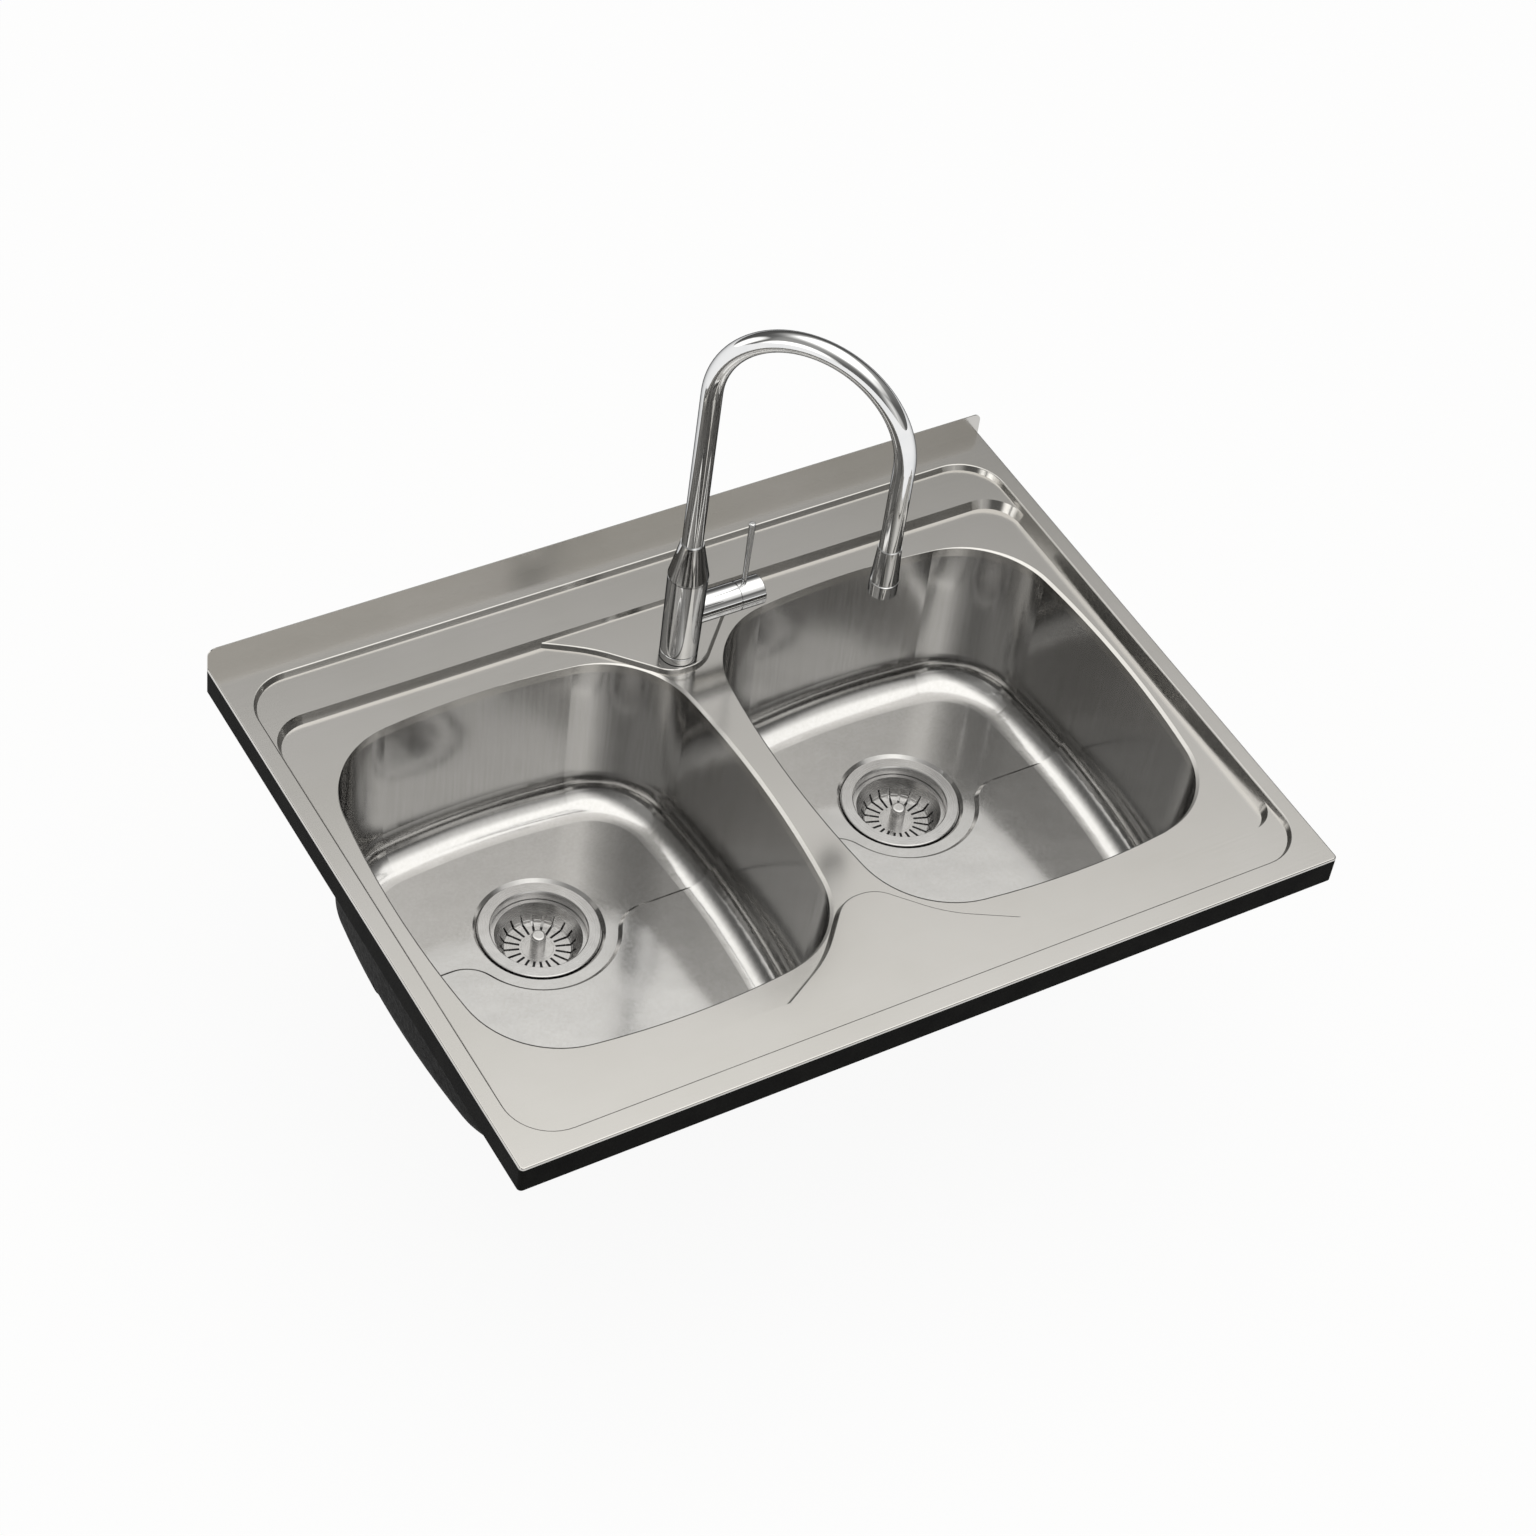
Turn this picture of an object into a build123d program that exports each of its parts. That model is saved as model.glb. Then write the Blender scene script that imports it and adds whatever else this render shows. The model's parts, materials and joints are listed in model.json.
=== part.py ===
from build123d import *
import math
import os

# Driving sizes of the sink top, in millimetres.
sink_width = 800.0
sink_depth = 600.0
apron_height = 28.5
upstand_height = 23.3
upstand_corner = 8.0
sheet = 1.0
edge_radius = 4.0
edge_bend = 1.4
lip_height = 2.5

# Pressed levels of the top, measured down from its rim.
shelf_drop = 5.3
ledge_drop = 9.5
bowl_drop = 14.0
riser_angle = 24.0
rim_side = 15.6
rim_front = 20.2
rim_rear = 30.3
rim_corner = 43.0
inner_rear_rim = 78.0
inner_front_rim = 62.0
inner_rear_corner = 36.0
inner_front_corner = 27.0

# Driving sizes of the raised tap ledge and of the hump between the bowls.
ledge_reach = 110.3
ledge_bend_x = 69.1
ledge_bend_y = 25.9
ledge_tip_x = 16.2
ledge_tip_margin = 1.5
ledge_tip_corner = 30.0
hump_reach = 118.7
hump_bend_x = 59.0
hump_bend_y = 33.0
hump_tip_x = 15.5
hump_tip_rise = 49.0
hump_tip_corner = 30.0
hump_front_inset = 2.0
bump_bend_corner = 130.0
bump_overlap = 12.0
bump_root = 0.5

# Driving sizes of one bowl, which fills the top up to these margins.
bowl_gap = 28.0
bowl_side_margin = 34.0
bowl_front_margin = 92.5
bowl_rear_margin = 108.5
bowl_bow = 17.0
bowl_corner = 88.0
bowl_depth = 168.0
bowl_draft = 1.8
rim_roll = 3.8
rim_crease = 1.1
rim_slope = 12.0
floor_radius = 33.0
collar_height = 10.0
plateau_height = 3.0
plateau_slope = 52.0
plateau_line = 33.0
plateau_arc = 74.5
plateau_shoulder = 30.0
coat = 2.0
coat_margin = 14.0

# Driving sizes of the black edge rails and their brackets.
rail_wall = 1.5
rail_top_width = 13.5
rail_seat_width = 16.5
bracket_width = 24.0
bracket_drop = 28.0
bracket_margin = 150.0
rivet_radius = 2.5
rivet_inset = 9.0
screw_radius = 2.6
screw_rise = 10.0
mitre_reach = 20.0
trim_width = 10.0

# Driving sizes of one drain with its basket.
drain_offset = 57.0
seat_radius = 58.5
seat_run = 2.5
seat_depth = 3.0
drain_hole = 46.0
flange_radius = 55.5
flange_thick = 1.2
cup_radius = 44.0
cup_wall = 1.2
rim_below_flange = 11.0
seal_thick = 1.0
basket_depth = 16.0
basket_foot = 31.0
basket_sheet = 0.8
slot_count = 20
slot_width = 2.3
slot_start = 16.5
knob_radius = 7.0
knob_height = 18.0
stem_radius = 3.0
stopper_radius = 25.0
stopper_thick = 3.0
outlet_radius = 23.9
outlet_wall = 2.4
outlet_length = 32.0
tail_radius = 19.0
tail_wall = 1.2
tail_shoulder = 0.6
tail_length = 110.0

# Driving sizes of the tap.
tap_x = -5.0
tap_rear_margin = 140.0
tap_hole = 14.0
base_radius = 17.5
base_height = 8.0
body_top_radius = 18.4
body_height = 97.5
collar_rise = 39.0
tube_radius = 9.5
tube_wall = 1.5
leg_height = 309.5
spout_reach = 177.4
spout_angle = -55.0
nozzle_top = 221.0
nozzle_length = 36.5
nozzle_radius = 12.3
aerator_length = 14.5
arm_height = 50.5
arm_radius = 13.8
arm_length = 53.0
cap_length = 25.0
lever_offset = 7.5
lever_length = 73.0
lever_base = 2.2
lever_top = 3.1
shank_radius = 11.5
shank_drop = 50.0
inlet_radius = 4.0
inlet_offset = 5.2
socket_depth = 33.0
bush_radius = 12.5
rotor_radius = 4.5
rotor_disc = 8.0
pivot_radius = 1.5
cavity_radius = 10.0
chamber_radius = 10.9

# Named clearances.
ring_gap = 0.4
joint_groove = 0.8
ball_gap = 0.3
run_gap = 0.05
thread_gap = 0.1
basket_gap = 0.3
rim_gap = 0.6

# Levels that follow from the sizes above.
deck_top = apron_height
shelf_level = deck_top - shelf_drop
ledge_level = deck_top - ledge_drop
bowl_level = deck_top - bowl_drop
collar_bottom = bowl_level - collar_height
bowl_floor = bowl_level - bowl_depth
half_width = sink_width / 2
half_depth = sink_depth / 2
bowl_width = half_width - bowl_side_margin - bowl_gap / 2
bowl_length = sink_depth - bowl_front_margin - bowl_rear_margin
bowl_x = (bowl_width + bowl_gap) / 2
bowl_shift = (bowl_front_margin - bowl_rear_margin) / 2
drain_y = bowl_shift + drain_offset
tap_y = half_depth - tap_rear_margin
bracket_x = half_width - bracket_margin
riser_run = math.tan(math.radians(riser_angle))
rim_run = math.tan(math.radians(rim_slope))
hump_tip = -half_depth + bowl_front_margin + hump_tip_rise
inner_front = -half_depth + inner_front_rim
inner_rear = half_depth - inner_rear_rim
seat_top = bowl_floor - seat_depth
seat_under = seat_top - sheet
flange_under = seat_top + seal_thick
flange_top = flange_under + flange_thick
cup_ledge = flange_top - rim_below_flange
basket_rim = cup_ledge + basket_gap
basket_bottom = basket_rim - basket_depth
cup_floor = basket_bottom - stopper_thick - basket_gap
cup_outer = cup_radius + cup_wall
outlet_end = cup_floor - outlet_length
base_top = ledge_level + base_height
body_top = ledge_level + body_height
arm_level = ledge_level + arm_height
pivot_at = arm_length + lever_offset
ball_radius = math.hypot(arm_radius, lever_offset)
leg_top = ledge_level + leg_height
nozzle_level = ledge_level + nozzle_top
nozzle_end = nozzle_level - nozzle_length
collar_foot = body_top + ring_gap


def rod(radius, bottom, top):
    return Pos(0, 0, (bottom + top) / 2) * Cylinder(radius, top - bottom)


def ring(outer, inner, bottom, top):
    return rod(outer, bottom, top) - rod(inner, bottom, top)


def turned(points):
    outline = Plane.XZ * Polyline(*points, close=True)
    return revolve(make_face(outline), Axis.Z)


def slab(outline, bottom, top):
    return Pos(0, 0, bottom) * extrude(outline, top - bottom)


def hexagon_nut(radius, bore, bottom, top):
    return slab(RegularPolygon(radius, 6), bottom, top) - rod(bore, bottom, top)


def uneven_plate(half_x, front, rear, front_corner, rear_corner):
    plate = Pos(0, (front + rear) / 2) * Rectangle(2 * half_x, rear - front)
    plate = fillet(plate.vertices().group_by(Axis.Y)[0], front_corner)
    return fillet(plate.vertices().group_by(Axis.Y)[-1], rear_corner)


def bell(half, tip_corner):
    mirrored = [(-x, y) for x, y in reversed(half)]
    outline = make_face(Polyline(*mirrored, *half, close=True))
    for index, radius in ((0, tip_corner), (1, bump_bend_corner)):
        x, y = half[index]
        for side in (-1, 1):
            nearest = outline.vertices().sort_by_distance((side * x, y, 0))[0]
            outline = fillet(nearest, radius)
    return Pos(tap_x, 0) * outline


def bowl_outline(grow):
    half_x = bowl_width / 2 + grow
    half_y = bowl_length / 2 + grow
    x = half_x - bowl_bow
    y = half_y - bowl_bow
    front = ThreePointArc((-x, -y), (0, -half_y), (x, -y))
    right = ThreePointArc((x, -y), (half_x, 0), (x, y))
    rear = ThreePointArc((x, y), (0, half_y), (-x, y))
    left = ThreePointArc((-x, y), (-half_x, 0), (-x, -y))
    face = make_face([front, right, rear, left])
    return fillet(face.vertices(), bowl_corner + grow)


def ledge_outline():
    tip = tap_y - base_radius - ledge_tip_margin
    half = [(ledge_tip_x, tip), (ledge_bend_x, inner_rear - ledge_bend_y)]
    half += [(ledge_reach, inner_rear), (ledge_reach, inner_rear + bump_overlap)]
    return bell(half, ledge_tip_corner)


def hump_outline():
    front = inner_front - hump_front_inset
    half = [(hump_tip_x, hump_tip), (hump_bend_x, front + hump_bend_y)]
    half += [(hump_reach, front), (hump_reach, front - bump_overlap)]
    return bell(half, hump_tip_corner)


def pocket(outline, top, bottom, angle):
    return Pos(0, 0, top) * extrude(outline, top - bottom, dir=(0, 0, -1), taper=angle)


def shelf_pocket(grow):
    outline = uneven_plate(
        half_width - rim_side + grow,
        -half_depth + rim_front - grow,
        half_depth - rim_rear + grow,
        rim_corner + grow,
        rim_corner + grow,
    )
    return pocket(outline, deck_top, shelf_level - grow, riser_angle)


def bowl_pocket(grow):
    outline = uneven_plate(
        half_width - rim_side - shelf_drop * riser_run + grow,
        inner_front - grow,
        inner_rear + grow,
        inner_front_corner + grow,
        inner_rear_corner + grow,
    )
    return pocket(outline, shelf_level, bowl_level - grow, riser_angle)


def raised_bump(outline, top, grow):
    plan = offset(outline, -grow) if grow else outline
    bump = pocket(plan, top - grow, bowl_level - grow - bump_root, -riser_angle)
    return fillet(bump.edges().group_by(Axis.Z)[-1], edge_bend - grow)


def tap_ledge(grow):
    return raised_bump(ledge_outline(), ledge_level, grow)


def front_hump(grow):
    return raised_bump(hump_outline(), shelf_level, grow)


def edge_plan(inset):
    plan = Rectangle(sink_width - 2 * inset, sink_depth - 2 * inset)
    return fillet(plan.vertices().group_by(Axis.Y)[0], edge_radius - inset)


# The rim of a bowl slopes down towards it on the sides that x and y point to, in a crescent.
def rolled_rim(grow, x, y):
    reach = math.hypot(x, y)
    top = bowl_level - grow
    wide = Pos(x, y, top) * bowl_outline(grow)
    narrow = Pos(x, y, top - reach * rim_run) * bowl_outline(grow - reach)
    return loft([narrow, wide])


def level_edges(solid, level, inside):
    edges = solid.edges().filter_by_position(Axis.Z, level - 0.01, level + 0.01)
    return [edge for edge in edges if inside(abs(edge.center().X), edge.center().Y)]


def in_rim(x, y):
    return x < half_width - rim_side / 2 and abs(y) < half_depth - rim_side / 2


def top_solid(grow):
    block = slab(edge_plan(grow), collar_bottom, deck_top - grow)
    # Every upper edge is bent down except the rear one, where the upstand rises.
    bent = block.edges().group_by(Axis.Z)[-1].sort_by(Axis.Y)[:-1]
    block = fillet(bent, edge_bend - grow)
    block = block - shelf_pocket(grow)
    block = fillet(level_edges(block, deck_top - grow, in_rim), edge_bend - grow)
    block = block - bowl_pocket(grow)
    for side in (-1, 1):
        hole = slab(bowl_outline(grow), collar_bottom - sheet, bowl_level + sheet)
        hole = hole + rolled_rim(grow, rim_roll, 0) + rolled_rim(grow, -rim_crease, -rim_crease)
        block = block - Pos(side * bowl_x, bowl_shift, 0) * hole
    return block + tap_ledge(grow) + front_hump(grow)


def upstand():
    middle = deck_top + (upstand_height - lip_height) / 2
    plate = Rectangle(sink_width, upstand_height + lip_height)
    plate = fillet(plate.vertices().group_by(Axis.Y)[-1], upstand_corner)
    return Pos(0, half_depth, middle) * extrude(Plane.XZ * plate, sheet)


def deck():
    plate = top_solid(0) - top_solid(sheet)
    frame = Rectangle(sink_width + trim_width, sink_depth + trim_width)
    frame = frame - Rectangle(sink_width - 2 * trim_width, sink_depth - 2 * trim_width)
    plate = plate - slab(frame, collar_bottom - sheet, deck_top - lip_height)
    hole = Pos(tap_x, tap_y, 0) * rod(tap_hole, collar_bottom, deck_top)
    return plate + upstand() - hole


def rim_strip():
    outer = sheet + edge_bend
    plan = Rectangle(sink_width - 2 * outer, sink_depth - 2 * outer)
    inner = rail_top_width
    plan = plan - Rectangle(sink_width - 2 * inner, sink_depth - 2 * inner)
    return slab(plan, deck_top - lip_height, deck_top - sheet)


def rail_frame():
    outer = edge_plan(0)
    web_hole = edge_plan(rail_wall)
    top_hole = Rectangle(sink_width - 2 * rail_top_width, sink_depth - 2 * rail_top_width)
    seat_hole = Rectangle(sink_width - 2 * rail_seat_width, sink_depth - 2 * rail_seat_width)
    rail_top = deck_top - lip_height
    frame = slab(outer - web_hole, 0, rail_top)
    frame = frame + slab(outer - top_hole, rail_top - rail_wall, rail_top)
    frame = frame + slab(outer - seat_hole, 0, rail_wall)
    for place in bracket_places():
        frame = frame - place * Pos(0, rivet_inset, 0) * rod(rivet_radius, -rail_wall, 2 * rail_wall)
    return frame


def rail(frame, length, turn, reach):
    outer = length / 2 + mitre_reach
    inner = length / 2 - mitre_reach
    points = [(-outer, -mitre_reach), (outer, -mitre_reach), (inner, mitre_reach), (-inner, mitre_reach)]
    wedge = slab(make_face(Polyline(*points, close=True)), -rail_wall, deck_top)
    return frame & (Rot(0, 0, turn) * Pos(0, -reach, 0) * wedge)


def bracket_places():
    front = [Pos(x, -half_depth, 0) for x in (-bracket_x, bracket_x)]
    rear = [Rot(0, 0, 180) * place for place in front]
    sides = [Rot(0, 0, turn) * Pos(0, -half_width, 0) for turn in (90, -90)]
    return front + rear + sides


def bracket():
    leg_face = rail_seat_width + ball_gap
    foot_length = leg_face - edge_radius
    foot = Pos(0, leg_face - foot_length / 2, rail_wall * 1.5) * Box(bracket_width, foot_length, rail_wall)
    leg_mid = rail_wall - bracket_drop / 2
    leg = Pos(0, leg_face + rail_wall / 2, leg_mid + rail_wall / 2) * Box(
        bracket_width, rail_wall, bracket_drop + rail_wall
    )
    angle = foot + leg - Pos(0, rivet_inset, 0) * rod(rivet_radius, 0, rail_wall * 3)
    screw_hole = Rot(90, 0, 0) * Cylinder(screw_radius, 4 * rail_wall)
    screw_hole = Pos(0, leg_face, screw_rise - bracket_drop) * screw_hole
    return angle - screw_hole


def rivet():
    head = rod(rivet_radius * 1.8, 2 * rail_wall, 2 * rail_wall + 1.4)
    head = fillet(head.edges().group_by(Axis.Z)[-1], 1.0)
    return Pos(0, rivet_inset, 0) * (head + rod(rivet_radius, 0, 2 * rail_wall))


def bracket_group(maker):
    return Compound([place * maker() for place in bracket_places()])


def plateau(grow):
    line = plateau_line - bowl_shift
    reach = bowl_length
    region = Pos(0, line - reach / 2) * Rectangle(bowl_width + 60, reach)
    region = region - Pos(0, drain_offset) * Circle(plateau_arc)
    shoulders = [v for v in region.vertices() if abs(v.Y - line) < 0.01 and abs(v.X) < bowl_width / 2]
    region = fillet(shoulders, plateau_shoulder)
    region = offset(region, -grow) if grow else region
    top = bowl_floor + plateau_height - grow
    slope = pocket(region, top, bowl_floor - grow - 1, -plateau_slope)
    return slope + slab(region, top, top + 2 * floor_radius)


def bowl_form(grow, floor):
    depth = collar_bottom - floor + grow
    form = extrude(bowl_outline(grow), depth, dir=(0, 0, -1), taper=bowl_draft)
    form = Pos(0, 0, collar_bottom) * form
    return fillet(form.edges().group_by(Axis.Z)[0], floor_radius + grow)


def bowl_space(grow):
    low = seat_top - grow
    high = bowl_floor + sheet
    foot = seat_radius - seat_run + grow
    brim = seat_radius + seat_run + grow
    seat = turned([(0, low), (foot, low), (brim, high), (0, high)])
    # The floor in front of the drain is raised, and keeps the same bend up to the walls.
    front = bowl_form(grow, bowl_floor + plateau_height)
    space = bowl_form(grow, bowl_floor) - plateau(grow) + front
    return space + Pos(0, drain_offset, 0) * seat


def bowl():
    shell = bowl_space(sheet) - bowl_space(0)
    return shell - Pos(0, drain_offset, 0) * rod(drain_hole, seat_under - 1, bowl_floor)


def undercoat():
    shell = bowl_space(sheet + coat) - bowl_space(sheet)
    top = collar_bottom - coat_margin
    trim = slab(Rectangle(bowl_width + 60, bowl_length + 60), top, collar_bottom + 1)
    clear = rod(seat_radius + 6, seat_under - 10, bowl_floor + 2)
    return shell - trim - Pos(0, drain_offset, 0) * clear


def strainer_body():
    inner_top = cup_radius - 2.4
    cone_foot = basket_foot + 1.5
    cone_low = cup_ledge - basket_depth
    thread_low = cup_ledge - 6
    bore = outlet_radius - outlet_wall
    points = [
        (flange_radius, flange_under),
        (flange_radius, flange_top - 0.5),
        (flange_radius - 0.8, flange_top),
        (cup_radius + 1, flange_top),
        (cup_radius, flange_top - 1),
        (cup_radius, cup_ledge),
        (inner_top, cup_ledge),
        (cone_foot, cone_low),
        (stopper_radius + 4, cup_floor),
        (bore, cup_floor),
        (bore, outlet_end),
        (outlet_radius, outlet_end),
        (outlet_radius, cup_floor - 2),
        (cone_foot + 1, cup_floor - 2),
        (cone_foot + 3, cone_low - 1),
        (cup_outer, thread_low),
        (cup_outer, flange_under),
    ]
    return turned(points)


def strainer_seal():
    return ring(flange_radius - 1.5, drain_hole, seat_top, flange_under)


def strainer_washer():
    return ring(seat_radius - 3, cup_outer + thread_gap, seat_under - 3, seat_under)


def strainer_ring():
    return ring(seat_radius - 3, cup_outer + thread_gap, seat_under - 4, seat_under - 3)


def strainer_nut():
    top = seat_under - 4
    bottom = cup_ledge - 6
    nut = rod(cup_outer + 6, bottom, top)
    for index in range(6):
        lug = Pos(cup_outer + 6, 0, (top + bottom) / 2) * Box(8, 10, top - bottom)
        nut = nut + Rot(0, 0, 60 * index) * lug
    return nut - rod(cup_outer + thread_gap, bottom, top)


def tailpiece_washer():
    return ring(outlet_radius - 0.2, tail_radius - tail_wall, outlet_end - 2, outlet_end)


def tailpiece():
    bore = tail_radius - tail_wall
    top = outlet_end - 2
    flange = ring(outlet_radius - 0.2, bore, top - 2, top)
    shoulder = ring(tail_radius + tail_shoulder, bore, top - 5, top)
    return flange + shoulder + ring(tail_radius, bore, top - tail_length, top)


def tailpiece_nut():
    low = outlet_end - 6
    nut = slab(RegularPolygon(outlet_radius + 6, 8), low, outlet_end + 10)
    nut = nut - rod(outlet_radius + thread_gap, outlet_end - 4, outlet_end + 10)
    return nut - rod(tail_radius + tail_shoulder + thread_gap, low, outlet_end)


def basket():
    wall_top = cup_radius - 3.2
    rim = cup_radius - rim_gap
    points = [
        (stem_radius, basket_bottom),
        (basket_foot, basket_bottom),
        (wall_top, basket_rim),
        (rim, basket_rim),
        (rim, basket_rim + basket_sheet),
        (wall_top - basket_sheet, basket_rim + basket_sheet),
        (basket_foot - basket_sheet, basket_bottom + basket_sheet),
        (stem_radius, basket_bottom + basket_sheet),
    ]
    cup = turned(points)
    slot_end = basket_foot + 7
    slot = Box(slot_end - slot_start, slot_width, 9)
    slot = Pos((slot_start + slot_end) / 2, 0, basket_bottom + 3.5) * slot
    for index in range(slot_count):
        cup = cup - Rot(0, 0, 360 / slot_count * index) * slot
    return cup


def basket_knob():
    foot = basket_bottom + basket_sheet
    post = rod(knob_radius, foot, foot + knob_height)
    post = fillet(post.edges().group_by(Axis.Z)[-1], 2.5)
    return post + rod(stem_radius, basket_bottom - stopper_thick + 0.5, foot)


def basket_stopper():
    disc = rod(stopper_radius, basket_bottom - stopper_thick, basket_bottom)
    disc = fillet(disc.edges().group_by(Axis.Z)[0], 1.0)
    return disc - rod(stem_radius, basket_bottom - stopper_thick, basket_bottom)


def tap_base_seal():
    return ring(base_radius - 1, tap_hole, ledge_level, ledge_level + 0.8)


def tap_base_ring():
    disc = rod(base_radius, ledge_level + 0.8, base_top)
    disc = fillet(disc.edges().group_by(Axis.Z)[-1], 0.5)
    return disc - rod(shank_radius + thread_gap, ledge_level, base_top)


def arm_place():
    return Pos(0, 0, arm_level) * Rot(0, 90, 0)


def tap_body():
    low = base_top + ring_gap
    socket = body_top - socket_depth
    points = [(0, low), (base_radius - joint_groove, low), (base_radius, low + joint_groove)]
    points += [(body_top_radius, body_top), (0, body_top)]
    body = turned(points)
    body = body - rod(shank_radius, low, low + 12) - rod(8, low + 12, socket)
    body = body - rod(bush_radius, socket, body_top)
    arm_seat = rod(arm_radius, 12, 2 * body_top_radius) + rod(4, 0, 12)
    return body - arm_place() * arm_seat


def tap_shank():
    low = ledge_level - shank_drop
    tube = rod(shank_radius, low, base_top + ring_gap + 12) - rod(8, low + 12, base_top + ring_gap + 12)
    for x in (-inlet_offset, inlet_offset):
        tube = tube - Pos(x, 0, 0) * rod(inlet_radius, low, low + 12)
    return tube


def tap_gasket():
    return ring(base_radius - 1, shank_radius + thread_gap, ledge_level - sheet - 3, ledge_level - sheet)


def tap_washer():
    top = ledge_level - sheet - 3
    plate = ring(base_radius, shank_radius + thread_gap, top - 2, top)
    return plate - Pos(0, base_radius, top - 1) * Box(9, 2 * base_radius - 8, 4)


def tap_nut():
    top = ledge_level - sheet - 5
    return hexagon_nut(base_radius - 1, shank_radius + thread_gap, top - 10, top)


def valve_arm():
    arm = rod(arm_radius, 12, arm_length) - rod(chamber_radius, 20, arm_length) - rod(4, 12, 20)
    return arm - Pos(0, 0, pivot_at) * Sphere(ball_radius + ball_gap)


def cartridge_body():
    housing = rod(chamber_radius - thread_gap, 20, 34)
    return housing - rod(rotor_radius + run_gap, 20, 34) - rod(rotor_disc + run_gap, 26, 34)


def cartridge_nut():
    return ring(chamber_radius - thread_gap, rotor_radius + 1, 34, 39)


def cartridge_rotor():
    stem = rod(rotor_radius, 22, pivot_at) + rod(rotor_disc, 26 + ball_gap, 34 - ball_gap)
    stem = stem + Pos(0, 0, pivot_at) * Sphere(rotor_radius)
    return stem - Pos(0, 0, pivot_at) * Rot(90, 0, 0) * Cylinder(pivot_radius + run_gap, 4 * rotor_radius)


def pivot_pin():
    return Pos(0, 0, pivot_at) * Rot(90, 0, 0) * Cylinder(pivot_radius, 2 * cavity_radius + 2.6)


def handle_cap():
    end = arm_length + cap_length
    start = arm_length + joint_groove
    cap = rod(arm_radius, start, end)
    cap = fillet(cap.edges().group_by(Axis.Z)[-1], 1.0)
    ball = Pos(0, 0, pivot_at) * Sphere(ball_radius)
    cap = cap + (ball & rod(arm_radius - joint_groove, pivot_at - ball_radius, start + 1))
    cap = cap - rod(cavity_radius, pivot_at - ball_radius, end - 6)
    lever_hole = Pos(-arm_radius, 0, pivot_at) * Rot(0, 90, 0) * Cylinder(lever_base, 4.4)
    return cap - lever_hole - pivot_pin()


def lever_pin():
    low = arm_radius - 2.2
    stub = rod(lever_base, low, arm_radius + 1)
    tip = arm_radius + lever_length
    stalk = turned([(0, arm_radius + 1), (lever_base, arm_radius + 1), (lever_top, tip), (0, tip)])
    stalk = fillet(stalk.edges().group_by(Axis.Z)[-1], 1.2)
    return Pos(0, 0, pivot_at) * Rot(0, -90, 0) * (stub + stalk)


def spout_bush():
    bush = ring(bush_radius, tube_radius + run_gap, body_top - socket_depth + 8, body_top - 0.5)
    for level in seal_levels():
        bush = bush - rod(bush_radius - 1.3, level, level + 2)
    return bush


def seal_levels():
    return (body_top - 19, body_top - 10)


def spout_seals():
    rings = [ring(bush_radius - 1.3, tube_radius + run_gap, level, level + 2) for level in seal_levels()]
    return Compound(rings)


def spout_clip():
    top = body_top - socket_depth + 8 - ring_gap
    return ring(bush_radius - 0.7, tube_radius, top - 3, top)


def spout_tube():
    low = body_top - socket_depth + 3
    rise = spout_reach / 2
    path = Line((0, 0, low), (0, 0, leg_top))
    path = path + ThreePointArc((0, 0, leg_top), (rise, 0, leg_top + rise), (spout_reach, 0, leg_top))
    path = path + Line((spout_reach, 0, leg_top), (spout_reach, 0, nozzle_level - 8))
    section = Circle(tube_radius) - Circle(tube_radius - tube_wall)
    return sweep(Pos(0, 0, low) * section, path)


def spout_collar():
    top = collar_foot + collar_rise
    points = [
        (tube_radius, collar_foot),
        (body_top_radius - 0.4, collar_foot),
        (body_top_radius, collar_foot + 0.4),
        (body_top_radius, collar_foot + 1.5),
        (tube_radius + 1.1, top),
        (tube_radius, top),
    ]
    return turned(points)


def nozzle():
    bore = tube_radius - tube_wall
    points = [
        (tube_radius, nozzle_level),
        (tube_radius + 0.8, nozzle_level),
        (nozzle_radius, nozzle_end),
        (10.4, nozzle_end),
        (10.4, nozzle_end + 7),
        (bore, nozzle_end + 7),
        (bore, nozzle_level - 8),
        (tube_radius, nozzle_level - 8),
    ]
    return Pos(spout_reach, 0, 0) * turned(points)


def aerator_ring():
    top = nozzle_end - ring_gap
    low = top - aerator_length
    points = [
        (8.2, low),
        (nozzle_radius - 0.4, low),
        (nozzle_radius + 0.2, low + 0.6),
        (nozzle_radius + 0.2, top - 0.6),
        (nozzle_radius - 0.5, top),
        (10.3, top),
        (10.3, nozzle_end + 4),
        (9.4, nozzle_end + 4),
        (9.4, low + 1.5),
        (8.2, low + 1.5),
    ]
    return Pos(spout_reach, 0, 0) * turned(points)


def aerator_insert():
    low = nozzle_end - ring_gap - aerator_length + 1.5
    disc = rod(9.4 - thread_gap, low, nozzle_end + 4)
    for place in PolarLocations(5.6, 12):
        disc = disc - place * rod(0.9, low, nozzle_end + 4)
    for place in PolarLocations(2.8, 6):
        disc = disc - place * rod(0.9, low, nozzle_end + 4)
    return Pos(spout_reach, 0, 0) * disc


def aerator_washer():
    washer = ring(10.2, 7.5, nozzle_end + 4, nozzle_end + 6.8)
    return Pos(spout_reach, 0, 0) * washer


frame = rail_frame()
nodes = {
    "deck": deck(),
    "rim_strip": rim_strip(),
    "front_rail": rail(frame, sink_width, 0, half_depth),
    "right_rail": rail(frame, sink_depth, 90, half_width),
    "rear_rail": rail(frame, sink_width, 180, half_depth),
    "left_rail": rail(frame, sink_depth, -90, half_width),
    "fixing_brackets": bracket_group(bracket),
    "bracket_rivets": bracket_group(rivet),
}

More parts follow.
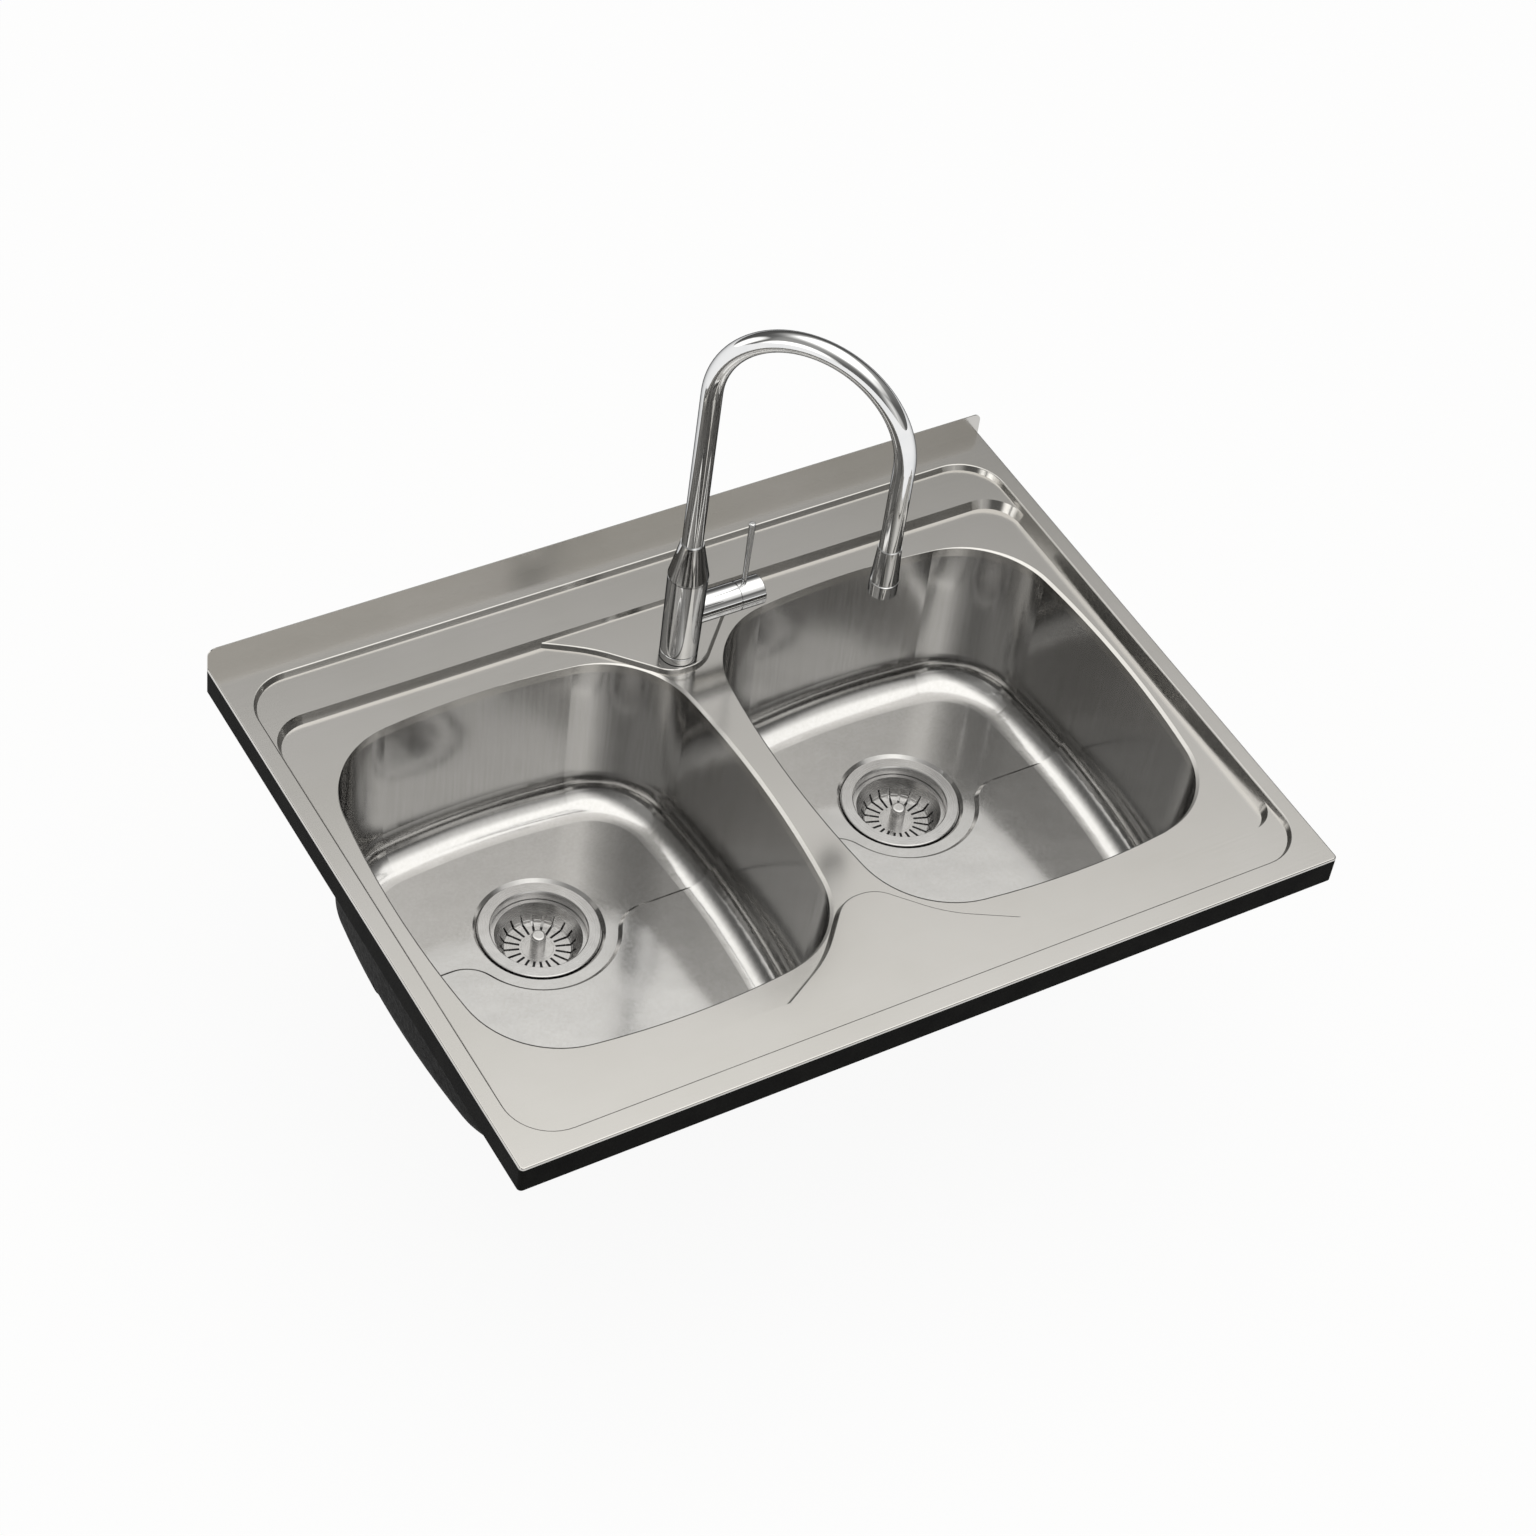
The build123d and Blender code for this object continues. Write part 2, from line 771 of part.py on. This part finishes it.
bowl_makers = [bowl, undercoat]
drain_makers = [
    strainer_body,
    strainer_seal,
    strainer_washer,
    strainer_ring,
    strainer_nut,
    tailpiece_washer,
    tailpiece,
    tailpiece_nut,
    basket,
    basket_knob,
    basket_stopper,
]
for maker in bowl_makers:
    shape = maker()
    nodes["left_" + maker.__name__] = Pos(-bowl_x, bowl_shift, 0) * shape
    nodes["right_" + maker.__name__] = Pos(bowl_x, bowl_shift, 0) * shape
for maker in drain_makers:
    shape = maker()
    nodes["left_" + maker.__name__] = Pos(-bowl_x, drain_y, 0) * shape
    nodes["right_" + maker.__name__] = Pos(bowl_x, drain_y, 0) * shape

tap_place = Pos(tap_x, tap_y, 0)
tap_makers = [tap_base_seal, tap_base_ring, tap_body, tap_shank, tap_gasket, tap_washer, tap_nut]
tap_makers += [spout_bush, spout_seals]
for maker in tap_makers:
    nodes[maker.__name__] = tap_place * maker()

valve_makers = [valve_arm, cartridge_body, cartridge_nut, cartridge_rotor, pivot_pin, handle_cap, lever_pin]
for maker in valve_makers:
    nodes[maker.__name__] = tap_place * arm_place() * maker()

spout_makers = [spout_clip, spout_tube, spout_collar, nozzle, aerator_ring, aerator_insert, aerator_washer]
for maker in spout_makers:
    nodes[maker.__name__] = tap_place * Rot(0, 0, spout_angle) * maker()

os.makedirs("parts", exist_ok=True)
for name, shape in nodes.items():
    export_step(shape, "parts/" + name + ".step")
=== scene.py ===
import bpy
import json
import math
from mathutils import Matrix, Vector


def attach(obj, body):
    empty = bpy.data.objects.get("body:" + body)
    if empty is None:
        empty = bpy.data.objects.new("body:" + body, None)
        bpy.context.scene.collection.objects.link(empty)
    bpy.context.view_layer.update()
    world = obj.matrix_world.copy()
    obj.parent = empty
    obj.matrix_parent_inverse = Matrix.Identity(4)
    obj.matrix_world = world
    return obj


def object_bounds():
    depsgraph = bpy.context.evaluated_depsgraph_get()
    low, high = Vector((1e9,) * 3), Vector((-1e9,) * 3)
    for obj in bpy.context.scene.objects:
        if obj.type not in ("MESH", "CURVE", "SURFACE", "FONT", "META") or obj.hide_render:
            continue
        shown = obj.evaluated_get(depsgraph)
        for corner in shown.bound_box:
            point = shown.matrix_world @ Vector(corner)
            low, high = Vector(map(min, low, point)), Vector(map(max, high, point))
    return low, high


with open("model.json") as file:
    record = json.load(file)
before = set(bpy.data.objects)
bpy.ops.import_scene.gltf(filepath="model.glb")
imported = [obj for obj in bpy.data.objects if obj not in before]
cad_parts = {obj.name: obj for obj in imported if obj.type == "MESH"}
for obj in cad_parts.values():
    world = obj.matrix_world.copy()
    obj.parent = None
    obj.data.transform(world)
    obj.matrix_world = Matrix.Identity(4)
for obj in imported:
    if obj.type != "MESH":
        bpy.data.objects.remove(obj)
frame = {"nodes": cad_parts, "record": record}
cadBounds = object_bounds()
nodes = frame["nodes"]
scene = bpy.context.scene
scene.view_settings.view_transform = "Standard"
mm = 0.001
print("frame loaded:", len(nodes), "nodes")


def srgb(code):  # sRGB hex to linear colour
    channels = [int(code[i:i + 2], 16) / 255 for i in (0, 2, 4)]
    linear = [c / 12.92 if c <= 0.04045 else ((c + 0.055) / 1.055) ** 2.4 for c in channels]
    return (*linear, 1.0)


def addNode(tree, kind, inputs={}, **settings):  # one node with its settings and links
    node = tree.nodes.new(kind)
    for name, value in settings.items():
        setattr(node, name, value)
    for name, value in inputs.items():
        if isinstance(value, bpy.types.NodeSocket):
            tree.links.new(value, node.inputs[name])
        else:
            node.inputs[name].default_value = value
    return node


def newMaterial(name):
    material = bpy.data.materials.new(name)
    material.use_nodes = True
    material.node_tree.nodes.clear()
    return material, material.node_tree


def closeMaterial(tree, shader):
    addNode(tree, "ShaderNodeOutputMaterial", {"Surface": shader.outputs[0]})


# camera: solved from the corners of the top in the photo
cameraView = {
    "position": (-1.3333, -1.8050, 2.3781),
    "aim": (-0.0062, -0.0035, 0.0285),
    "rollDegrees": 9.115,
    "lens": 87.32,
    "sensor": 36.0,
}


def makeCamera(view):
    data = bpy.data.cameras.new("photoCamera")
    data.lens = view["lens"]
    data.sensor_width = view["sensor"]
    data.clip_start = 0.05
    camera = bpy.data.objects.new("photoCamera", data)
    scene.collection.objects.link(camera)
    place = Vector(view["position"])
    look = (Vector(view["aim"]) - place).to_track_quat("-Z", "Y").to_matrix().to_4x4()
    roll = Matrix.Rotation(math.radians(view["rollDegrees"]), 4, "Z")
    camera.matrix_world = Matrix.Translation(place) @ look @ roll
    scene.camera = camera


makeCamera(cameraView)
print("camera placed")


# studio: one broad softbox overhead, brightest left of the middle, and three low panels in a dim room
softbox = {  # slope of the direction along x and along y: share of the full strength
    "alongX": [(-0.8, 0.11), (-0.57, 0.27), (-0.35, 0.6), (-0.15, 1.0), (0.1, 1.0),
               (0.41, 0.72), (0.74, 0.59), (0.84, 0.35), (0.98, 0.14), (1.8, 0.06)],
    "alongY": [(-1.8, 0.13), (-1.3, 0.38), (-0.77, 0.58), (-0.45, 1.0), (0.35, 1.0),
               (0.65, 0.69), (0.89, 0.265), (1.2, 0.12), (1.8, 0.0)],
    "strength": 2.2,
    "ceiling": 1.6,  # the middle of the lamp is even at this level
    "room": 0.1,
    "tint": "FFFEFB",
}
panels = [  # turn from +x and rise in degrees, radius of the even middle and of the faded edge, strength
    {"turn": 140, "rise": 8, "middle": 9, "edge": 24, "strength": 1.4},
    {"turn": -88, "rise": 3, "middle": 8, "edge": 32, "strength": 0.45},
    {"turn": -170, "rise": 6, "middle": 8, "edge": 24, "strength": 1.8},
]


def addPanel(tree, direction, light, values):
    turn, rise = math.radians(values["turn"]), math.radians(values["rise"])
    toward = (math.cos(turn) * math.cos(rise), math.sin(turn) * math.cos(rise), math.sin(rise))
    closeness = addNode(tree, "ShaderNodeVectorMath", {0: direction, 1: toward}, operation="DOT_PRODUCT")
    glow = addNode(tree, "ShaderNodeMapRange", {
        "Value": closeness.outputs["Value"], "From Min": math.cos(math.radians(values["edge"])),
        "From Max": math.cos(math.radians(values["middle"])), "To Max": values["strength"]},
        interpolation_type="SMOOTHSTEP")
    return addNode(tree, "ShaderNodeMath", {0: light, 1: glow.outputs[0]}, operation="ADD").outputs[0]


def makeSky(values, panels):
    world = bpy.data.worlds.new("studioSky")
    world.use_nodes = True
    scene.world = world
    tree = world.node_tree
    tree.nodes.clear()
    reach = 2.0  # slopes past this keep the last share
    lowest = 0.05  # keeps the slopes finite at the horizon
    direction = addNode(tree, "ShaderNodeTexCoord").outputs["Generated"]
    axes = addNode(tree, "ShaderNodeSeparateXYZ", {0: direction}).outputs
    height = addNode(tree, "ShaderNodeMath", {0: axes["Z"], 1: lowest}, operation="MAXIMUM").outputs[0]
    shares = []
    for axis, stops in (("X", values["alongX"]), ("Y", values["alongY"])):
        slope = addNode(tree, "ShaderNodeMath", {0: axes[axis], 1: height}, operation="DIVIDE").outputs[0]
        place = addNode(tree, "ShaderNodeMapRange", {
            "Value": slope, "From Min": -reach, "From Max": reach}).outputs[0]
        ramp = addNode(tree, "ShaderNodeFloatCurve", {"Value": place})
        curve = ramp.mapping.curves[0]
        spots = [((slope + reach) / (2 * reach), share) for slope, share in stops]
        spots = [(0.0, spots[0][1])] + spots + [(1.0, spots[-1][1])]
        while len(curve.points) < len(spots):
            curve.points.new(0.5, 0.5)
        for point, spot in zip(curve.points, spots):
            point.location = spot
            point.handle_type = "VECTOR"
        ramp.mapping.update()
        shares.append(ramp.outputs[0])
    lamp = addNode(tree, "ShaderNodeMath", {0: shares[0], 1: shares[1]}, operation="MULTIPLY").outputs[0]
    full = addNode(tree, "ShaderNodeMath", {0: lamp, 1: values["strength"]}, operation="MULTIPLY")
    even = addNode(tree, "ShaderNodeMath", {0: full.outputs[0], 1: values["ceiling"]}, operation="MINIMUM")
    dim = addNode(tree, "ShaderNodeMath", {0: even.outputs[0], 1: values["room"]}, operation="ADD")
    light = dim.outputs[0]
    for panel in panels:
        light = addPanel(tree, direction, light, panel)
    sky = addNode(tree, "ShaderNodeBackground", {"Color": srgb(values["tint"]), "Strength": light})
    addNode(tree, "ShaderNodeOutputWorld", {"Surface": sky.outputs[0]})


makeSky(softbox, panels)

# floor: wide enough to fill low views too; glow is its share of plain white to the eye and in mirrors
floorSheet = {"size": 80.0, "below": 0.5 * mm, "color": "F4F4F2", "glow": 0.93}


def makeFloor(values):
    half = values["size"] / 2
    level = cadBounds[0][2] - values["below"]
    mesh = bpy.data.meshes.new("paperFloor")
    corners = [(-half, -half, level), (half, -half, level), (half, half, level), (-half, half, level)]
    mesh.from_pydata(corners, [], [(0, 1, 2, 3)])
    floor = bpy.data.objects.new("paperFloor", mesh)
    scene.collection.objects.link(floor)
    material, tree = newMaterial("mattPaper")
    paper = addNode(tree, "ShaderNodeBsdfDiffuse", {"Color": srgb(values["color"])})
    glow = addNode(tree, "ShaderNodeEmission", {"Color": (1, 1, 1, 1), "Strength": 1.0})
    path = addNode(tree, "ShaderNodeLightPath")
    seen = addNode(tree, "ShaderNodeMath", {
        0: path.outputs["Is Camera Ray"], 1: path.outputs["Is Glossy Ray"]}, operation="ADD")
    seen = addNode(tree, "ShaderNodeMath", {
        0: seen.outputs[0], 1: path.outputs["Is Transmission Ray"]}, operation="ADD", use_clamp=True)
    share = addNode(tree, "ShaderNodeMath", {0: seen.outputs[0], 1: values["glow"]}, operation="MULTIPLY")
    mixed = addNode(tree, "ShaderNodeMixShader", {
        0: share.outputs[0], 1: paper.outputs[0], 2: glow.outputs[0]})
    closeMaterial(tree, mixed)
    mesh.materials.append(material)


makeFloor(floorSheet)
print("studio ready")


# finishes: patterns are given in millimetres on object coordinates
def grain(tree, sizeMm, detail=2.0):  # noise stretched to these sizes along x, y and z
    place = addNode(tree, "ShaderNodeTexCoord").outputs["Object"]
    scale = [1 / (size * mm) for size in sizeMm]
    stretched = addNode(tree, "ShaderNodeMapping", {"Vector": place, "Scale": scale})
    noise = addNode(tree, "ShaderNodeTexNoise", {
        "Vector": stretched.outputs[0], "Scale": 1.0, "Detail": detail, "Roughness": 0.55})
    return noise.outputs[0]


def spread(tree, pattern, low, high):  # the middle of a pattern stretched over a range of values
    return addNode(tree, "ShaderNodeMapRange", {
        "Value": pattern, "From Min": 0.3, "From Max": 0.7, "To Min": low, "To Max": high}).outputs[0]


def tones(tree, pattern, dark, light):
    share = spread(tree, pattern, 0.0, 1.0)
    mixed = addNode(tree, "ShaderNodeMix", {0: share, 6: srgb(dark), 7: srgb(light)}, data_type="RGBA")
    return mixed.outputs[2]


def relief(tree, pattern, depthMm, over=None):  # bump of this depth, over another one if given
    inputs = {"Height": pattern, "Strength": 1.0, "Distance": depthMm * mm}
    if over:
        inputs["Normal"] = over
    return addNode(tree, "ShaderNodeBump", inputs).outputs[0]


def surface(tree, color, roughness, normal, **fixed):
    inputs = {"Base Color": color, "Roughness": roughness, "Normal": normal}
    inputs.update({name.replace("_", " "): value for name, value in fixed.items()})
    closeMaterial(tree, addNode(tree, "ShaderNodeBsdfPrincipled", inputs))


def ringPattern(tree, centre, stepMm):  # turning marks around the two drains, which mirror each other in x
    place = addNode(tree, "ShaderNodeTexCoord").outputs["Object"]
    folded = addNode(tree, "ShaderNodeVectorMath", {0: place}, operation="ABSOLUTE").outputs[0]
    moved = addNode(tree, "ShaderNodeMapping", {
        "Vector": folded, "Location": (-centre[0], -centre[1], 0.0), "Scale": (1.0, 1.0, 0.0)}).outputs[0]
    radius = addNode(tree, "ShaderNodeVectorMath", {0: moved}, operation="LENGTH").outputs["Value"]
    steps = addNode(tree, "ShaderNodeMath", {0: radius, 1: 1 / (stepMm * mm)}, operation="MULTIPLY")
    noise = addNode(tree, "ShaderNodeTexNoise", {
        "W": steps.outputs[0], "Scale": 1.0, "Detail": 2.0}, noise_dimensions="1D")
    return noise.outputs[0]


def satinSteel():  # ground stainless sheet: soft, slightly warm reflections, faint lines along its length
    material, tree = newMaterial("satinStainlessSteel")
    lines = grain(tree, (60, 0.9, 0.9))  # the real lines are 0.1 mm wide, drawn coarser so that they show
    haze = grain(tree, (150, 120, 60), 3.0)
    color = tones(tree, haze, "C5C3BF", "CAC8C5")
    surface(tree, color, spread(tree, lines, 0.15, 0.19), relief(tree, lines, 0.0025), Metallic=1.0)
    return material


def drawnSteel():  # deep-drawn stainless sheet: bright, neutral, upright draw marks and slow waves
    material, tree = newMaterial("drawnStainlessSteel")
    marks = grain(tree, (3.0, 3.0, 90))
    waves = grain(tree, (38, 38, 150), 1.0)
    color = tones(tree, marks, "C6C5C3", "CBCAC9")
    normal = relief(tree, marks, 0.0008, relief(tree, waves, 0.2))
    surface(tree, color, spread(tree, marks, 0.12, 0.15), normal, Metallic=1.0)
    return material


def paintedDarkApronCoat():  # black powder coat on folded steel, its near-black a painted dark reflection standing in for the dark reflection on the steel apron: matt, with a fine orange peel
    material, tree = newMaterial("blackCoatWithPaintedDarkReflection")
    peel = grain(tree, (1.6, 1.6, 1.6), 1.0)
    # painted dark reflection: these near-black tones stand in for the dark reflection that the steel apron
    # shows
    color = tones(tree, grain(tree, (25, 25, 25)), "151515", "1C1C1B")
    surface(tree, color, spread(tree, peel, 0.5, 0.62), relief(tree, peel, 0.05), Specular_IOR_Level=0.015)
    return material


def soundCoat():  # sprayed bitumen: dull, lumpy and uneven in depth
    material, tree = newMaterial("sprayedSoundCoat")
    lumps = grain(tree, (4.5, 4.5, 4.5), 4.0)
    drift = grain(tree, (60, 60, 60))
    color = tones(tree, drift, "0D0D0D", "161616")
    normal = relief(tree, lumps, 0.8, relief(tree, drift, 1.2))
    surface(tree, color, spread(tree, lumps, 0.72, 0.9), normal, Specular_IOR_Level=0.25)
    return material


def zincPlate():  # zinc-plated steel: blue-white with soft spangle and a trace of yellow
    material, tree = newMaterial("zincPlatedSteel")
    place = addNode(tree, "ShaderNodeTexCoord").outputs["Object"]
    spangle = addNode(tree, "ShaderNodeTexVoronoi", {"Vector": place, "Scale": 1 / (3.5 * mm)})
    level = addNode(tree, "ShaderNodeSeparateColor", {0: spangle.outputs["Color"]}).outputs[0]
    color = tones(tree, level, "B4B9BE", "C3C2BC")
    fine = grain(tree, (0.8, 0.8, 0.8))
    surface(tree, color, spread(tree, level, 0.3, 0.42), relief(tree, fine, 0.01), Metallic=1.0)
    return material


def chromeWithPaintedDarkEdges():  # chrome on polished brass: a mirror with a painted dark reflection at its edges, made by a dark edge tint
    material, tree = newMaterial("chromePlatedBrassWithPaintedDarkEdges")
    haze = grain(tree, (14, 14, 14), 3.0)
    color = tones(tree, haze, "E9EAEB", "EFEFEF")
    # painted dark reflection: the dark specular tint darkens the chrome towards its edges
    surface(tree, color, spread(tree, haze, 0.025, 0.05), relief(tree, haze, 0.002),
            Metallic=1.0, Specular_Tint=srgb("343436"))
    return material


def turnedSteel(centre):  # spun and polished stainless strainer: light, with fine rings around the drain
    material, tree = newMaterial("spunStainlessSteel")
    rings = ringPattern(tree, centre, 0.5)  # real marks are 0.05 mm apart, drawn coarser so that they show
    haze = grain(tree, (9, 9, 9))
    color = tones(tree, haze, "C6C5C4", "CFCECD")
    surface(tree, color, spread(tree, rings, 0.2, 0.28), relief(tree, rings, 0.002), Metallic=1.0)
    return material


def turnedBrass():  # lathe-turned brass: yellow, with rings along the shank and a little tarnish
    material, tree = newMaterial("turnedBrass")
    rings = grain(tree, (30, 30, 0.6))
    tarnish = grain(tree, (12, 12, 12), 4.0)
    color = tones(tree, tarnish, "B8954C", "CFAE66")
    surface(tree, color, spread(tree, rings, 0.22, 0.36), relief(tree, rings, 0.01), Metallic=1.0)
    return material


def sealRubber():  # moulded black rubber: dull, with a dusty bloom
    material, tree = newMaterial("mouldedRubber")
    bloom = grain(tree, (7, 7, 7), 4.0)
    skin = grain(tree, (0.7, 0.7, 0.7))
    color = tones(tree, bloom, "181819", "262627")
    surface(tree, color, spread(tree, bloom, 0.6, 0.75), relief(tree, skin, 0.02), Specular_IOR_Level=0.35)
    return material


def mouldedPlastic(name, dark, light):  # injection-moulded polypropylene: waxy, with a fine eroded skin
    material, tree = newMaterial(name)
    flow = grain(tree, (18, 18, 30), 3.0)
    skin = grain(tree, (0.6, 0.6, 0.6))
    color = tones(tree, flow, dark, light)
    surface(tree, color, spread(tree, skin, 0.38, 0.5), relief(tree, skin, 0.015), IOR=1.49)
    return material


drains = {"left": (-190 * mm, 49 * mm), "right": (190 * mm, 49 * mm)}
finishes = {
    "deck_steel": satinSteel(),
    "bowl_steel": drawnSteel(),
    "black_coated_steel": paintedDarkApronCoat(),
    "sound_coat": soundCoat(),
    "zinc_steel": zincPlate(),
    "tap_chrome": chromeWithPaintedDarkEdges(),
    "polished_steel": turnedSteel(drains["right"]),
    "turned_brass": turnedBrass(),
    "sealing_rubber": sealRubber(),
    "white_plastic": mouldedPlastic("whitePolypropylene", "E2E0D9", "EAE9E4"),
    "grey_plastic": mouldedPlastic("greyPolypropylene", "808386", "8E9194"),
}
slotOfNode = {part["node"]: part["material_slot"] for part in frame["record"]["subparts"]}
for name, node in nodes.items():
    material = finishes[slotOfNode[name]]
    if node.data.materials:
        for slot in node.material_slots:
            slot.material = material
    else:
        node.data.materials.append(material)
print("finishes set on", len(nodes), "nodes")


# repeated details, each made by a node tree and then turned into a plain mesh
def newTree(name, sizes):  # a tree with named inputs; returns it and their sockets
    tree = bpy.data.node_groups.new(name, "GeometryNodeTree")
    kinds = {"Count": "NodeSocketInt", "Centre": "NodeSocketVector", "Finish": "NodeSocketMaterial"}
    for size in sizes:
        tree.interface.new_socket(name=size, in_out="INPUT", socket_type=kinds.get(size, "NodeSocketFloat"))
    tree.interface.new_socket(name="Geometry", in_out="OUTPUT", socket_type="NodeSocketGeometry")
    return tree, addNode(tree, "NodeGroupInput").outputs


def closeTree(tree, shape, values):  # put in place, made real, smooth and finished
    placed = addNode(tree, "GeometryNodeTransform", {"Geometry": shape, "Translation": values["Centre"]})
    real = addNode(tree, "GeometryNodeRealizeInstances", {"Geometry": placed.outputs[0]})
    smooth = addNode(tree, "GeometryNodeSetShadeSmooth", {"Geometry": real.outputs[0]})
    dressed = addNode(tree, "GeometryNodeSetMaterial", {
        "Geometry": smooth.outputs[0], "Material": values["Finish"]})
    addNode(tree, "NodeGroupOutput", {"Geometry": dressed.outputs[0]})


def growPiece(name, tree, values, body):
    holder = bpy.data.objects.new(name + "Holder", bpy.data.meshes.new(name + "Holder"))
    scene.collection.objects.link(holder)
    modifier = holder.modifiers.new("grow", "NODES")
    modifier.node_group = tree
    for item in tree.interface.items_tree:
        if item.in_out == "INPUT":
            modifier[item.identifier] = values[item.name]
    ready = holder.evaluated_get(bpy.context.evaluated_depsgraph_get())
    piece = bpy.data.objects.new(name, bpy.data.meshes.new_from_object(ready))
    piece.data.name = name
    bpy.data.objects.remove(holder)
    scene.collection.objects.link(piece)
    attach(piece, body)


def pipTree():  # low round pips on a circle
    tree, values = newTree("pipRing", ["Count", "Radius", "Pip Radius", "Pip Rise", "Centre", "Finish"])
    circle = addNode(tree, "GeometryNodeMeshCircle", {
        "Vertices": values["Count"], "Radius": values["Radius"]})
    pip = addNode(tree, "GeometryNodeMeshUVSphere", {"Segments": 10, "Rings": 6, "Radius": 1.0})
    size = addNode(tree, "ShaderNodeCombineXYZ", {
        0: values["Pip Radius"], 1: values["Pip Radius"], 2: values["Pip Rise"]})
    pips = addNode(tree, "GeometryNodeInstanceOnPoints", {
        "Points": circle.outputs[0], "Instance": pip.outputs[0], "Scale": size.outputs[0]})
    closeTree(tree, pips.outputs[0], values)
    return tree


def beadTree():  # short round beads on a circle, one between each two slots
    tree, values = newTree("beadRing", ["Count", "Radius", "Sweep", "Bead Radius", "Centre", "Finish"])
    start = addNode(tree, "ShaderNodeMath", {0: values["Sweep"], 1: -0.5}, operation="MULTIPLY").outputs[0]
    path = addNode(tree, "GeometryNodeCurveArc", {
        "Resolution": 12, "Radius": values["Radius"], "Start Angle": start, "Sweep Angle": values["Sweep"]})
    section = addNode(tree, "GeometryNodeCurvePrimitiveCircle", {
        "Resolution": 8, "Radius": values["Bead Radius"]})
    bead = addNode(tree, "GeometryNodeCurveToMesh", {
        "Curve": path.outputs[0], "Profile Curve": section.outputs[0], "Fill Caps": True})
    points = addNode(tree, "GeometryNodePoints", {"Count": values["Count"]})
    middle = addNode(tree, "ShaderNodeMath", {
        0: addNode(tree, "GeometryNodeInputIndex").outputs[0], 1: 0.5}, operation="ADD").outputs[0]
    part = addNode(tree, "ShaderNodeMath", {0: middle, 1: values["Count"]}, operation="DIVIDE").outputs[0]
    angle = addNode(tree, "ShaderNodeMath", {0: part, 1: math.tau}, operation="MULTIPLY").outputs[0]
    turn = addNode(tree, "ShaderNodeCombineXYZ", {2: angle})
    beads = addNode(tree, "GeometryNodeInstanceOnPoints", {
        "Points": points.outputs[0], "Instance": bead.outputs[0], "Rotation": turn.outputs[0]})
    closeTree(tree, beads.outputs[0], values)
    return tree


def threadTree():  # a screw thread as one ridge that climbs around the axis
    tree, values = newTree("screwThread", ["Radius", "Pitch", "Length", "Ridge", "Centre", "Finish"])
    turns = addNode(tree, "ShaderNodeMath", {0: values["Length"], 1: values["Pitch"]}, operation="DIVIDE")
    path = addNode(tree, "GeometryNodeCurveSpiral", {
        "Resolution": 40, "Rotations": turns.outputs[0], "Start Radius": values["Radius"],
        "End Radius": values["Radius"], "Height": values["Length"]})
    upright = addNode(tree, "GeometryNodeSetCurveNormal", {"Curve": path.outputs[0]}, mode="Z_UP")
    section = addNode(tree, "GeometryNodeCurvePrimitiveCircle", {
        "Resolution": 4, "Radius": values["Ridge"]})
    ridge = addNode(tree, "GeometryNodeCurveToMesh", {
        "Curve": upright.outputs[0], "Profile Curve": section.outputs[0], "Fill Caps": True})
    closeTree(tree, ridge.outputs[0], values)
    return tree


pipRing = {"Count": 44, "Radius": 14.6 * mm, "Pip Radius": 0.55 * mm, "Pip Rise": 0.4 * mm}
basketFloor = -180.2 * mm
beadRing = {"Count": 20, "Radius": 31.4 * mm, "Sweep": math.radians(12.0), "Bead Radius": 0.55 * mm}
beadLevel = -178.8 * mm
tailThread = {"Radius": 23.9 * mm, "Pitch": 2.3 * mm, "Length": 14 * mm, "Ridge": 0.75 * mm}
tailThreadLow = -205 * mm
shankThread = {"Radius": 11.5 * mm, "Pitch": 1.5 * mm, "Length": 30 * mm, "Ridge": 0.5 * mm}
shankThreadLow = (-5 * mm, 160 * mm, -29 * mm)

pips, beads, thread = pipTree(), beadTree(), threadTree()
for side, (x, y) in drains.items():
    steel = {"Finish": finishes["polished_steel"]}
    basket = side + "_basket_set"
    growPiece(side + "BasketPips", pips, {**pipRing, **steel, "Centre": (x, y, basketFloor)},
              basket)
    growPiece(side + "BasketBeads", beads, {**beadRing, **steel, "Centre": (x, y, beadLevel)},
              basket)
    growPiece(side + "OutletThread", thread, {**tailThread, **steel, "Centre": (x, y, tailThreadLow)},
              "sink")
brass = {"Finish": finishes["turned_brass"]}
growPiece("shankThread", thread, {**shankThread, **brass, "Centre": shankThreadLow}, "sink")
print("pips, beads and threads made")
